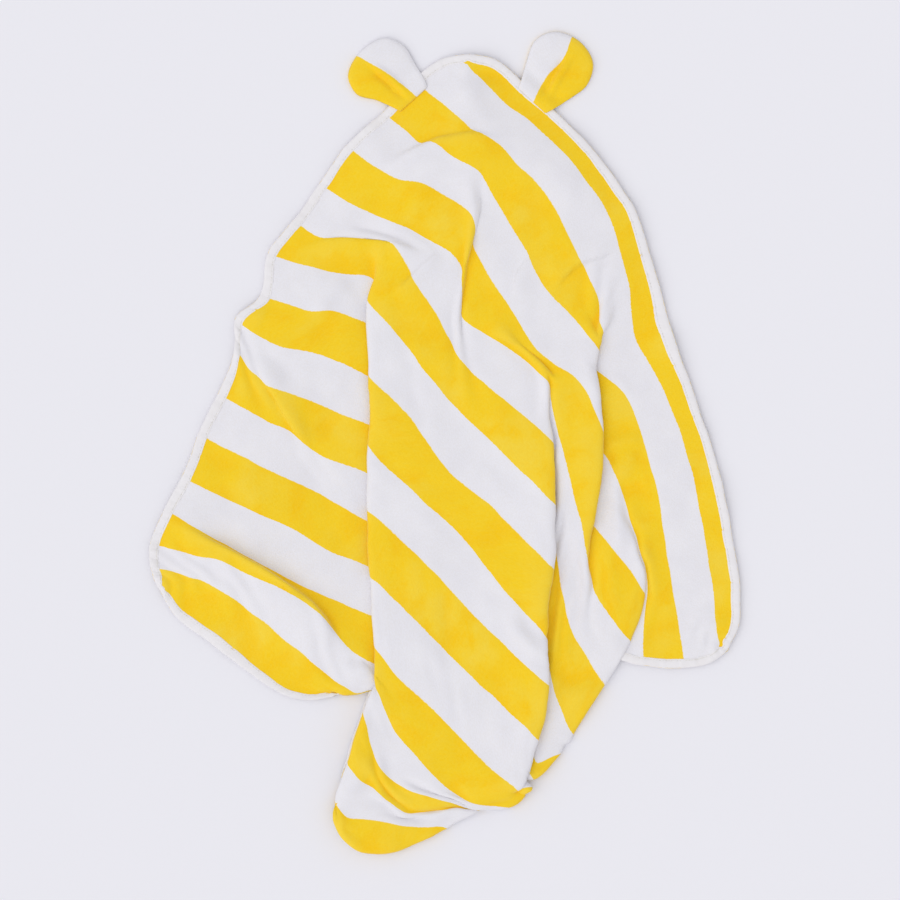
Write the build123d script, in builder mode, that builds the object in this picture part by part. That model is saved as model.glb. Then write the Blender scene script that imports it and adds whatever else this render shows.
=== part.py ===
from build123d import *
import math
import os

# A hooded towel for a baby, lying loosely folded on a flat surface. Millimetres.
# +Z is up, +Y points to the hood corner and z = 0 is the surface it lies on.
# The origin is at the middle of its footprint.

os.makedirs("parts", exist_ok=True)

# ---- driving dimensions ----
CLEARANCE = 0.3          # between pieces that are sewn together

PANEL_LOFT = 6.0         # one loose layer of terry, with its small wrinkles
PLEAT_LOFT = 13.0        # where the cloth lies in a pleat, three layers deep
SIDE_PLEAT_LOFT = 10.0   # the smaller pleat to the right of it
FOLDED_LOFT = 14.0       # the bottom corner, folded under
HOOD_TOP = 12.5          # top of the outer cloth over the hood pocket
HOOD_CEILING = 9.5       # underside of the outer cloth over the hood pocket

BINDING_WIDTH = 9.5
BINDING_HEIGHT = 5.0
THREAD_WIDTH = 0.8
THREAD_HEIGHT = 0.4
THREAD_INSET = 7.6       # from the binding's outer edge to its stitch line

HOOD_LINING = 2.8        # thickness of the hood's own cloth
HOOD_HEM_Y = 200.0       # the hood's straight opening edge
HOOD_HEM_HEIGHT = 4.0
HOOD_HEM_LEFT = -128.0
HOOD_HEM_RIGHT = 168.0
HOOD_SEAM = 8.0          # strip where both cloths are caught in the binding
HOOD_MOUTH = 20.0        # the pocket's room in front of the opening edge

EAR_LAYER = 2.4          # thickness of one cloth of an ear
EAR_GAP = 0.4            # from the hood's edge to an ear

# ---- outlines as the towel lies: corners of each line, rounded by a radius ----
EDGE_RADIUS = 16.0
HEM_POINTS = [
    (28, 399), (70, 370), (128, 317), (178, 258), (212, 172), (238, 82),
    (272, -5), (287, -88), (300, -188), (285, -222), (176, -222),
    # from here the edge runs hidden under the folded corner
    (110, -245), (20, -272), (-66, -246),
    (-118, -254), (-162, -249), (-215, -207), (-284, -167), (-300, -112),
    (-270, -42), (-212, 78), (-206, 122), (-172, 150), (-168, 200),
    (-118, 262), (-60, 330), (-18, 368),
]

FOLD_RADIUS = 10.0
FOLDED_CORNER = [
    (-68, -195), (-88, -285), (-110, -325), (-110, -392), (-72, -417),
    (36, -362), (84, -362), (128, -289), (166, -230), (160, -190),
]
CENTRE_PLEAT = [
    (-72, 176), (24, 206), (96, 108), (106, 0), (109, -130), (103, -245),
    (70, -350), (-88, -345), (-72, -240), (-76, -60),
]
SIDE_PLEAT = [
    (92, 108), (146, 156), (160, 44), (154, -32), (136, -108), (104, -96),
]

# Raised folds: start, end, width and top above the surface.
RIDGES = [
    ((-268, -70), (-96, -205), 34, 24),    # the long roll across the lower left
    ((-74, 165), (-72, -235), 26, 20),     # the left edge of the centre pleat
    ((104, 60), (98, -250), 24, 20),       # the right edge of the centre pleat
    ((150, 140), (148, -60), 22, 18),      # the edge of the side pleat
    ((-95, -385), (78, -348), 26, 24),     # the roll of the folded corner
    ((30, 268), (18, 140), 24, 22),        # the fold that runs down from the hood
]
RIDGE_TAPER = 21         # slope of a raised fold's sides, from upright, in degrees
ROOT = 1.0               # how far a raised stretch reaches down into the cloth below it

# The ears: the ends of each one's seam on the hood's edge, and points round its outline.
LEFT_EAR_SEAM = ((-55, 334.5), (-21, 365.3))
LEFT_EAR = [(-70, 346), (-89, 352), (-96, 368), (-82, 396), (-60, 407), (-42, 400), (-30, 381)]
RIGHT_EAR_SEAM = ((75, 365.4), (110, 333.4))
RIGHT_EAR = [(83, 388), (90, 405), (108, 412), (134, 403), (147, 383), (140, 357), (124, 345)]


def ear_sketch(seam, points):
    """The outline of an ear, a little outside its seam on the hood's edge."""
    start = Vector(*seam[0])
    end = Vector(*seam[1])
    outward = (end - start).rotate(Axis.Z, 90).normalized() * EAR_GAP
    with BuildSketch() as ear:
        with BuildLine():
            Spline(start + outward, *points, end + outward)
            Line(end + outward, start + outward)
        make_face()
    return ear.sketch


# ---- areas that several pieces share ----
with BuildSketch() as hem_area:
    with BuildLine():
        FilletPolyline(*HEM_POINTS, radius=EDGE_RADIUS, close=True)
    make_face()

with BuildSketch() as binding_area:
    add(hem_area.sketch)
    offset(hem_area.sketch, amount=-BINDING_WIDTH, mode=Mode.SUBTRACT)

with BuildSketch() as hood_area:
    offset(hem_area.sketch, amount=-BINDING_WIDTH - CLEARANCE)
    split(bisect_by=Plane.XZ.offset(-HOOD_HEM_Y), keep=Keep.BOTTOM)

with BuildSketch() as pocket_area:
    offset(hem_area.sketch, amount=-BINDING_WIDTH - HOOD_SEAM)
    split(
        bisect_by=Plane.XZ.offset(-HOOD_HEM_Y + BINDING_WIDTH + HOOD_MOUTH),
        keep=Keep.BOTTOM,
    )

# ---- the striped square ----
with BuildPart() as towel_panel:
    with BuildSketch():
        offset(hem_area.sketch, amount=-BINDING_WIDTH - CLEARANCE)
    extrude(amount=PANEL_LOFT)
    with BuildSketch():
        with BuildLine():
            FilletPolyline(*FOLDED_CORNER, radius=FOLD_RADIUS, close=True)
        make_face()
    extrude(amount=FOLDED_LOFT)
    for outline, loft_height in ((CENTRE_PLEAT, PLEAT_LOFT), (SIDE_PLEAT, SIDE_PLEAT_LOFT)):
        with BuildSketch(Plane.XY.offset(PANEL_LOFT - ROOT)):
            with BuildLine():
                FilletPolyline(*outline, radius=FOLD_RADIUS, close=True)
            make_face()
        extrude(amount=loft_height - PANEL_LOFT + ROOT)
    with BuildSketch(Plane.XY.offset(PANEL_LOFT - ROOT)):
        add(pocket_area.sketch)
    extrude(amount=HOOD_TOP - PANEL_LOFT + ROOT)
    for start, end, width, top in RIDGES:
        run = Vector(*end) - Vector(*start)
        middle = (Vector(*start) + Vector(*end)) / 2
        with BuildSketch(Plane.XY.offset(PANEL_LOFT - ROOT)):
            with Locations((middle.X, middle.Y)):
                SlotCenterToCenter(
                    run.length, width, rotation=math.degrees(math.atan2(run.Y, run.X))
                )
        extrude(amount=top - PANEL_LOFT + ROOT, taper=RIDGE_TAPER)
    # the binding's hidden run under the folded corner
    with BuildSketch():
        add(hem_area.sketch)
        offset(hem_area.sketch, amount=-BINDING_WIDTH - CLEARANCE, mode=Mode.SUBTRACT)
    extrude(amount=BINDING_HEIGHT + THREAD_HEIGHT + CLEARANCE, mode=Mode.SUBTRACT)
    # room for the hood's own cloth, and the pocket above it
    with BuildSketch():
        add(hood_area.sketch)
    extrude(amount=HOOD_LINING + CLEARANCE, mode=Mode.SUBTRACT)
    with BuildSketch():
        add(pocket_area.sketch)
    extrude(amount=HOOD_CEILING, mode=Mode.SUBTRACT)
towel_panel.part.label = "towel_panel"
export_step(towel_panel.part, "parts/towel_panel.step")

# ---- the hood's own cloth, under the hood corner ----
with BuildPart() as hood_panel:
    with BuildSketch():
        add(hood_area.sketch)
    extrude(amount=HOOD_LINING)
hood_panel.part.label = "hood_panel"
export_step(hood_panel.part, "parts/hood_panel.step")

# ---- the binding round the square ----
with BuildPart() as edge_binding:
    with BuildSketch():
        add(binding_area.sketch)
    extrude(amount=BINDING_HEIGHT)
edge_binding.part.label = "edge_binding"
export_step(edge_binding.part, "parts/edge_binding.step")

with BuildPart() as binding_stitching:
    with BuildSketch(Plane.XY.offset(BINDING_HEIGHT)):
        offset(hem_area.sketch, amount=-THREAD_INSET)
        offset(hem_area.sketch, amount=-THREAD_INSET - THREAD_WIDTH, mode=Mode.SUBTRACT)
    extrude(amount=THREAD_HEIGHT)
binding_stitching.part.label = "binding_stitching"
export_step(binding_stitching.part, "parts/binding_stitching.step")

# ---- the binding on the hood's opening edge ----
hood_hem_length = HOOD_HEM_RIGHT - HOOD_HEM_LEFT
hood_hem_middle = (HOOD_HEM_RIGHT + HOOD_HEM_LEFT) / 2

with BuildPart() as hood_hem_binding:
    with BuildSketch():
        with Locations((hood_hem_middle, HOOD_HEM_Y - CLEARANCE - BINDING_WIDTH / 2)):
            Rectangle(hood_hem_length, BINDING_WIDTH)
    extrude(amount=HOOD_HEM_HEIGHT)
hood_hem_binding.part.label = "hood_hem_binding"
export_step(hood_hem_binding.part, "parts/hood_hem_binding.step")

with BuildPart() as hood_hem_stitching:
    with BuildSketch(Plane.XY.offset(HOOD_HEM_HEIGHT)):
        with Locations((hood_hem_middle, HOOD_HEM_Y - CLEARANCE - BINDING_WIDTH + THREAD_INSET)):
            Rectangle(hood_hem_length, THREAD_WIDTH)
    extrude(amount=THREAD_HEIGHT)
hood_hem_stitching.part.label = "hood_hem_stitching"
export_step(hood_hem_stitching.part, "parts/hood_hem_stitching.step")

# ---- the ears, each two cloths sewn together ----
for ear_name, seam, points in (
    ("ear_left", LEFT_EAR_SEAM, LEFT_EAR),
    ("ear_right", RIGHT_EAR_SEAM, RIGHT_EAR),
):
    outline = ear_sketch(seam, points)
    for layer_name, bottom in (("back", 0), ("front", EAR_LAYER)):
        with BuildPart() as ear_cloth:
            with BuildSketch(Plane.XY.offset(bottom)):
                add(outline)
            extrude(amount=EAR_LAYER)
        ear_cloth.part.label = f"{ear_name}_{layer_name}"
        export_step(ear_cloth.part, f"parts/{ear_name}_{layer_name}.step")
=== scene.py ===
"""The looks of a hooded baby towel that lies loosely folded on a pale floor.

The towel is drawn in two steps. ROWS says where each stripe's edge lies, layer over layer, and
gives the cloth its folds. A cloth simulation then lets it settle at its real, unstretched size.
Metres throughout, except in ROWS and the flat pattern, which are in millimetres.
"""

import math

import bpy
import numpy as np
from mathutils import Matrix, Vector, noise
from mathutils.bvhtree import BVHTree


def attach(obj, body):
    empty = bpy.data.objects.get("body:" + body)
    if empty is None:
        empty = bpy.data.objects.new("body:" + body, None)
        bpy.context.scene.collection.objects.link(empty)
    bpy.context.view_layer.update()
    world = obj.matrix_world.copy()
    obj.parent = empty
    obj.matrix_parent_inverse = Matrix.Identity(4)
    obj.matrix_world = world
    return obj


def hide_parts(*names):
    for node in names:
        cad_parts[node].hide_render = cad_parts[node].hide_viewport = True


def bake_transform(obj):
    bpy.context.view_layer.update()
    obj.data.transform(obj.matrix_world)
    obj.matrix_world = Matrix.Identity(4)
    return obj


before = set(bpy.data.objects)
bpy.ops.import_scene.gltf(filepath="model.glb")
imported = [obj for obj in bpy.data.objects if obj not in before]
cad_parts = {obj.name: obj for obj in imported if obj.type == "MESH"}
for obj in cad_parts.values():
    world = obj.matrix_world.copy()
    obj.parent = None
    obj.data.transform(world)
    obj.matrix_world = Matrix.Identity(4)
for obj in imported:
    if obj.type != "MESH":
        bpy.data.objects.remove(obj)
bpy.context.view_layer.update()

MM = 0.001

# ---- the flat pattern, millimetres ----
SIDE = 732.0             # the square, over its binding
CORNER_RADIUS = 58.0
STRIPE = 44.0            # each stripe, yellow or white
FIRST_STRIPE = 27.0      # the first yellow stripe is narrower, at the hood's right-hand edge
TERRY = 2.8              # thickness of the cloth
FOLD_ROUNDNESS = 0.15    # how gently the cloth turns at a fold, from 0 to 1

# Where the cloth lies. Each row is a line along a stripe, given by its distance from the hood's
# right-hand edge on the flat pattern. Its points run from the left-hand edge to the opposite one:
# x, y and height, in millimetres in the object's frame. The fifth to seventh points are the pleat
# at the left (where it tucks under, its hidden root, its upper edge), the eleventh and twelfth the
# edge and root of the pleat at the right, the thirteenth and fourteenth those of the side pleat,
# and from the sixteenth on the cloth is folded under at the bottom.
ROWS = {
    0: [
        (27, 415, 3), (43, 398, 4), (55, 385, 4), (63, 377, 4), (70, 370, 4), (85, 355, 4),
        (102, 340, 4), (114, 330, 4), (130, 314, 4), (155, 287, 3), (187, 240, 3), (200, 205, 3),
        (217, 155, 3), (223, 125, 3), (245, 60, 3), (281, -55, 3), (295, -155, 3), (301, -223, 3),
    ],
    71: [
        (-31, 365, 3), (-15, 350, 5), (-3, 341, 6), (8, 331, 7), (16, 324, 7), (29, 311, 8),
        (50, 303, 8), (75, 276, 9), (94, 260, 9), (108, 240, 9), (122, 212, 9), (139, 178, 9),
        (154, 101, 10), (140, 85, 5), (175, 56, 5), (211, -45, 5), (225, -130, 4), (240, -222, 3),
    ],
    115: [
        (-62, 332, 3), (-47, 320, 5), (-37, 312, 6), (-22, 298, 7), (-10, 299, 9), (0, 290, 10),
        (34, 273, 11), (50, 246, 9), (68, 215, 9), (82, 193, 9), (99, 158, 9), (131, 123, 10),
        (154, 98, 11), (117, 43, 5), (160, -10, 5), (189, -85, 5), (199, -150, 4), (198, -222, 3),
    ],
    159: [
        (-98, 300, 3), (-82, 286, 5), (-69, 276, 6), (-46, 263, 8), (-32, 262, 9), (-7, 252, 10),
        (24, 232, 12), (26, 205, 10), (38, 180, 9), (66, 135, 10), (98, 90, 10), (136, 61, 11),
        (158, 5, 12), (115, -33, 5), (163, -100, 6), (199, -146, 5), (180, -180, 2), (153, -210, 2),
    ],
    203: [
        (-126, 261, 3), (-110, 251, 5), (-99, 244, 7), (-69, 231, 8), (-46, 220, 9), (-19, 206, 10),
        (3, 194, 12), (15, 175, 10), (16, 129, 9), (49, 105, 10), (101, 66, 13), (112, 14, 9),
        (141, -108, 9), (144, -122, 7), (153, -150, 6), (186, -195, 5), (155, -210, 2),
        (115, -230, 2),
    ],
    247: [
        (-150, 224, 3), (-134, 212, 5), (-120, 205, 6), (-103, 205, 6), (-75, 204, 8),
        (-61, 203, 9), (-43, 185, 10), (-16, 140, 10), (22, 77, 11), (60, 43, 12), (106, 2, 14),
        (96, -20, 8), (107, -85, 6), (113, -130, 6), (125, -182, 6), (159, -238, 5), (125, -247, 2),
        (80, -250, 2),
    ],
    291: [
        (-177, 191, 3), (-155, 184, 5), (-133, 179, 5), (-98, 170, 5), (-77, 168, 5), (-67, 160, 5),
        (-78, 145, 10), (-41, 103, 11), (-1, 49, 11), (48, 1, 12), (109, -62, 14), (87, -85, 8),
        (93, -160, 5), (101, -212, 5), (113, -258, 5), (128, -290, 4), (90, -285, 2), (50, -275, 2),
    ],
    335: [
        (-183, 149, 3), (-155, 140, 6), (-128, 133, 5), (-114, 135, 6), (-79, 121, 4),
        (-50, 110, 4), (-77, 72, 11), (-33, 25, 11), (6, -29, 11), (50, -65, 12), (108, -124, 15),
        (76, -153, 8), (80, -215, 5), (84, -270, 5), (91, -320, 5), (118, -306, 4), (85, -303, 2),
        (39, -297, 2),
    ],
    379: [
        (-211, 128, 3), (-183, 108, 6), (-163, 98, 7), (-140, 95, 6), (-78, 71, 4), (-41, 57, 4),
        (-77, 1, 11), (-30, -48, 11), (12, -85, 11), (50, -134, 12), (102, -193, 15), (74, -217, 8),
        (77, -262, 5), (80, -300, 4), (86, -326, 4), (92, -335, 6), (70, -325, 2), (20, -311, 2),
    ],
    423: [
        (-212, 97, 3), (-193, 73, 5), (-170, 60, 7), (-128, 41, 6), (-78, 22, 4), (-33, 5, 4),
        (-77, -66, 11), (-31, -105, 11), (10, -150, 11), (52, -193, 12), (104, -240, 15),
        (76, -263, 8), (74, -296, 4), (68, -312, 3), (62, -322, 2), (60, -328, 2), (55, -333, 2),
        (2, -323, 2),
    ],
    467: [
        (-228, 50, 3), (-183, 28, 6), (-150, 12, 6), (-128, -8, 5), (-78, -27, 4), (-25, -50, 4),
        (-74, -131, 11), (-35, -168, 11), (5, -208, 11), (48, -250, 12), (93, -293, 14),
        (71, -305, 8), (68, -318, 4), (64, -326, 3), (60, -332, 2), (60, -336, 2), (35, -336, 2),
        (-29, -314, 2),
    ],
    511: [
        (-246, 12, 3), (-200, -12, 5), (-160, -33, 5), (-113, -56, 5), (-78, -76, 4),
        (-15, -105, 4), (-70, -202, 11), (-38, -240, 11), (-5, -270, 12), (40, -316, 12),
        (76, -345, 12), (72, -343, 9), (74, -342, 6), (79, -341, 4), (85, -340, 4), (92, -339, 8),
        (15, -335, 2), (-60, -300, 2),
    ],
    555: [
        (-262, -32, 4), (-215, -55, 6), (-160, -78, 7), (-110, -108, 5), (-77, -121, 5),
        (-9, -155, 4), (-68, -243, 12), (-52, -282, 12), (-25, -313, 13), (-9, -331, 12),
        (8, -348, 11), (19, -355, 10), (34, -359, 9), (48, -362, 8), (58, -362, 7), (70, -361, 4),
        (15, -325, 2), (-45, -267, 2),
    ],
    599: [
        (-279, -64, 5), (-246, -84, 8), (-205, -110, 7), (-140, -141, 4), (-71, -172, 4),
        (-5, -205, 4), (-81, -268, 13), (-77, -291, 13), (-62, -324, 14), (-42, -340, 13),
        (-9, -350, 11), (0, -353, 10), (8, -357, 9), (14, -360, 8), (24, -361, 6), (37, -362, 4),
        (15, -305, 2), (-30, -230, 2),
    ],
    621: [
        (-287, -80, 4), (-254, -98, 7), (-212, -114, 10), (-150, -148, 9), (-76, -193, 4),
        (-11, -225, 4), (-90, -294, 13), (-85, -309, 13), (-66, -334, 12), (-50, -349, 11),
        (-25, -360, 10), (-14, -361, 9), (-3, -361, 8), (9, -361, 6), (22, -362, 4), (38, -363, 3),
        (12, -305, 2), (-20, -225, 2),
    ],
    643: [
        (-296, -97, 3), (-260, -109, 6), (-222, -126, 8), (-143, -166, 9), (-84, -212, 7),
        (-17, -245, 4), (-99, -319, 14), (-92, -328, 14), (-70, -344, 11), (-59, -357, 10),
        (-42, -370, 9), (-28, -368, 8), (-14, -365, 7), (3, -363, 5), (20, -363, 4), (37, -365, 3),
        (10, -305, 2), (-10, -220, 2),
    ],
    687: [
        (-298, -121, 3), (-256, -134, 5), (-205, -162, 6), (-145, -207, 7), (-89, -249, 5),
        (-28, -234, 3), (-108, -362, 10), (-99, -374, 9), (-75, -375, 9), (-50, -377, 9),
        (-37, -380, 8), (-28, -381, 8), (-20, -383, 8), (-13, -384, 7), (-7, -384, 6),
        (-1, -385, 4), (1, -305, 2), (0, -215, 2),
    ],
    719: [
        (-305, -137, 3), (-266, -162, 3), (-222, -188, 3), (-148, -245, 3), (-110, -250, 3),
        (-55, -228, 2), (-108, -383, 10), (-101, -397, 9), (-86, -408, 8), (-71, -411, 8),
        (-57, -410, 7), (-46, -406, 6), (-37, -402, 6), (-28, -397, 5), (-20, -393, 5),
        (-11, -389, 4), (-3, -312, 2), (8, -230, 2),
    ],
    732: [
        (-307, -146, 3), (-269, -175, 3), (-230, -200, 3), (-156, -251, 3), (-118, -255, 3),
        (-68, -224, 2), (-100, -380, 5), (-93, -389, 4), (-81, -398, 3), (-69, -401, 3),
        (-58, -400, 3), (-49, -396, 3), (-40, -392, 3), (-32, -388, 3), (-25, -385, 3),
        (-17, -382, 3), (-5, -315, 2), (17, -235, 2),
    ],
}

# ---- the simulation ----
GRID = 101               # points along each side of the simulated cloth
FRAMES = 16
PIN_HOLD = 0.7           # how strongly the cloth is held to where ROWS puts it


def smooth_slopes(x, y):
    """Slopes for a smooth curve through (x, y), for any number of columns in y."""
    step = np.diff(x)[:, None]
    rise = np.diff(y, axis=0) / step
    slopes = np.empty_like(y)
    slopes[1:-1] = (rise[:-1] * step[1:] + rise[1:] * step[:-1]) / (step[:-1] + step[1:])
    slopes[0], slopes[-1] = rise[0], rise[-1]
    return slopes


def level_slopes(x, y):
    """Slopes for a curve through (x, y) that never swings past its points."""
    slopes = smooth_slopes(x, y)
    rise = np.diff(y, axis=0) / np.diff(x)[:, None]
    limit = 3 * np.minimum(abs(rise[:-1]), abs(rise[1:]))
    inner = np.clip(slopes[1:-1], -limit, limit)
    slopes[1:-1] = np.where(rise[:-1] * rise[1:] > 0, inner, 0)
    return slopes


def folded_slopes(x, y):
    """Slopes for a curve that is smooth, but turns sharply where the points double back."""
    slopes = smooth_slopes(x, y)
    steps = np.diff(y[:, :2], axis=0)
    steps = steps / np.linalg.norm(steps, axis=1, keepdims=True)
    straightness = np.sum(steps[:-1] * steps[1:], axis=1, keepdims=True)
    slopes[1:-1, :2] *= FOLD_ROUNDNESS + (1 - FOLD_ROUNDNESS) * np.clip(straightness, 0.0, 1.0)
    return slopes


def curve(x, y, slopes, at):
    """The cubic through (x, y) with these slopes, at each value of at."""
    i = np.clip(np.searchsorted(x, at, side="right") - 1, 0, len(x) - 2)
    step = (x[i + 1] - x[i])[:, None]
    u = (at - x[i])[:, None] / step
    return (
        (1 + 2 * u) * (1 - u) ** 2 * y[i]
        + u * (1 - u) ** 2 * step * slopes[i]
        + u * u * (3 - 2 * u) * y[i + 1]
        + u * u * (u - 1) * step * slopes[i + 1]
    )


def lay(across, along):
    """Where ROWS puts the points of the flat pattern: distances in millimetres, places in metres."""
    stripes = np.array(sorted(ROWS), float)
    knots = np.array([ROWS[s] for s in sorted(ROWS)], float)
    shape = knots.shape[1:]
    table = knots.reshape(len(stripes), -1)
    lines = curve(stripes, table, level_slopes(stripes, table), across.ravel())
    places = np.empty((across.size, 3))
    for i, (line, t) in enumerate(zip(lines.reshape(-1, *shape), along.ravel())):
        run = np.linalg.norm(np.diff(line, axis=0), axis=1)
        at = np.concatenate([[0.0], np.cumsum(run)]) * SIDE / run.sum()
        places[i] = curve(at, line, folded_slopes(at, line), np.array([t]))[0]
    return places.reshape(*across.shape, 3) * MM


def flat_pattern(points):
    """A square grid whose corners are pressed round: (across the stripes, along the stripes)."""
    side = np.linspace(0.0, SIDE, points)
    across, along = np.meshgrid(side, side, indexing="ij")
    for a_far in (False, True):
        for b_far in (False, True):
            a = (SIDE - across if a_far else across) - CORNER_RADIUS
            b = (SIDE - along if b_far else along) - CORNER_RADIUS
            corner = (a < 0) & (b < 0)
            length = np.hypot(a, b)
            scale = np.where(corner, np.maximum(-a, -b) / np.maximum(length, 1e-9), 1.0)
            a, b = a * scale + CORNER_RADIUS, b * scale + CORNER_RADIUS
            across = np.where(corner, SIDE - a if a_far else a, across)
            along = np.where(corner, SIDE - b if b_far else b, along)
    return across, along


def grid_faces(rows, columns):
    """Quads of a grid of points counted row by row."""
    index = np.arange(rows * columns).reshape(rows, columns)
    quads = np.stack([index[:-1, :-1], index[1:, :-1], index[1:, 1:], index[:-1, 1:]], axis=-1)
    return quads.reshape(-1, 4).tolist()


def new_piece(name, points, faces, material=None):
    """A mesh object made of these points and faces."""
    mesh = bpy.data.meshes.new(name)
    mesh.from_pydata([tuple(p) for p in np.asarray(points, float)], [], faces)
    mesh.update()
    piece = bpy.data.objects.new(name, mesh)
    bpy.context.scene.collection.objects.link(piece)
    if material is not None:
        mesh.materials.append(material)
    for face in mesh.polygons:
        face.use_smooth = True
    return piece


def settle(piece, rest, pins, frames):
    """Lets a piece settle as cloth whose unstretched shape is rest. pins is its hold at each point."""
    piece.shape_key_add(name="laid")
    flat = piece.shape_key_add(name="flat")
    flat.data.foreach_set("co", rest.ravel())
    flat.value = 0.0
    group = piece.vertex_groups.new(name="hold")
    for i, hold in enumerate(pins):
        group.add([i], float(hold), "REPLACE")
    cloth = piece.modifiers.new("cloth", "CLOTH")
    cloth.settings.rest_shape_key = flat
    cloth.settings.vertex_group_mass = "hold"
    cloth.settings.pin_stiffness = 1.0
    cloth.settings.quality = 6
    cloth.settings.mass = 0.3
    cloth.settings.tension_stiffness = 20
    cloth.settings.compression_stiffness = 20
    cloth.settings.shear_stiffness = 8
    cloth.settings.bending_stiffness = 0.8
    cloth.settings.tension_damping = 10
    cloth.settings.compression_damping = 10
    cloth.settings.shear_damping = 10
    cloth.settings.air_damping = 3
    cloth.collision_settings.distance_min = 0.0016
    cloth.collision_settings.collision_quality = 3
    cloth.collision_settings.use_self_collision = True
    cloth.collision_settings.self_distance_min = 0.0030
    cloth.collision_settings.self_friction = 8
    cloth.point_cache.frame_start = 1
    cloth.point_cache.frame_end = frames
    scene = bpy.context.scene
    scene.frame_start = 1
    scene.frame_end = frames
    for frame_number in range(1, frames + 1):
        scene.frame_set(frame_number)
    graph = bpy.context.evaluated_depsgraph_get()
    settled = np.array([v.co[:] for v in piece.evaluated_get(graph).data.vertices])
    scene.frame_set(1)
    return settled


def collider(name, points, faces, thickness):
    """Something for the cloth to lie on while it settles."""
    piece = new_piece(name, points, faces)
    piece.modifiers.new("collision", "COLLISION")
    piece.collision.thickness_outer = thickness
    piece.collision.cloth_friction = 20
    return piece


def remove(*pieces):
    """Takes helper pieces out of the scene."""
    for piece in pieces:
        mesh = piece.data
        bpy.data.objects.remove(piece)
        bpy.data.meshes.remove(mesh)


# ---- the towel ----
across, along = flat_pattern(GRID)
laid = lay(across, along).reshape(-1, 3)
rest = np.stack([across.ravel(), along.ravel(), np.zeros(across.size)], axis=-1) * MM
towel_faces = grid_faces(GRID, GRID)

ground = collider(
    "ground",
    [(-1, -1, 0), (1, -1, 0), (1, 1, 0), (-1, 1, 0)],
    [(0, 1, 2, 3)],
    thickness=0.0005,
)
drape = new_piece("drape", laid, towel_faces)
settled = settle(drape, rest, np.full(len(laid), PIN_HOLD), FRAMES)
remove(drape, ground)

# ---- how the towel is finished, millimetres ----
FLOOR_GAP = 0.3          # under its lowest cloth
PRESSED = 1.0            # how far its own weight presses it down
TOUCH = 0.05             # the lowest that the tape and its thread reach
HOOD_DEPTH = 213.0       # from the hood corner to the hood's opening edge, on the flat pattern
HOOD_LOFT = 4.5          # how far the air in the hood lifts it
BINDING_WIDTH = 9.5
BINDING_HALF = 2.1       # half its height
HOOD_HEM_HALF = 1.8      # half the height of the hood's own binding
TAPE_STEP = 2.2          # from one section of the tape's mesh to the next
STITCH_INSET = 7.6       # from the binding's outer edge
STITCH_SUNK = 0.84       # height of the tape along its stitches, over half its height elsewhere
STITCH_PITCH = 3.2
STITCH_LENGTH = 2.5
STITCH_RADIUS = 0.3
LINING = 2.0             # thickness of the hood's own cloth
LINING_SEAM = 14.0       # the strip in which it rises from the floor to its seam

# The section of the folded tape: distance in from the hem, and height over its half height.
TAPE_SECTION = [
    (-0.5, 0.0), (-0.25, 0.5), (0.6, 0.88), (2.6, 1.0), (5.2, 1.0), (6.8, 0.94),
    (7.6, 0.84), (8.4, 0.94), (9.1, 0.86), (9.5, 0.7),
]
TAPE_LOOP = TAPE_SECTION + [(inset, -height) for inset, height in reversed(TAPE_SECTION[1:])]
TAPE_INSETS = np.array([inset for inset, height in TAPE_LOOP])
TAPE_HEIGHTS = np.array([height for inset, height in TAPE_LOOP])

RIPPLES = [(2.6, 52, 2.2), (1.1, 21, 1.0)]    # height, length and sideways reach
RIPPLE_SEED = 1          # without it, noise_vector follows the clock
EAR_SEAMS = [[(-52, 337.2), (-21, 365.3)], [(76.5, 364), (108, 335.2)]]    # on the hood's edge

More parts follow.
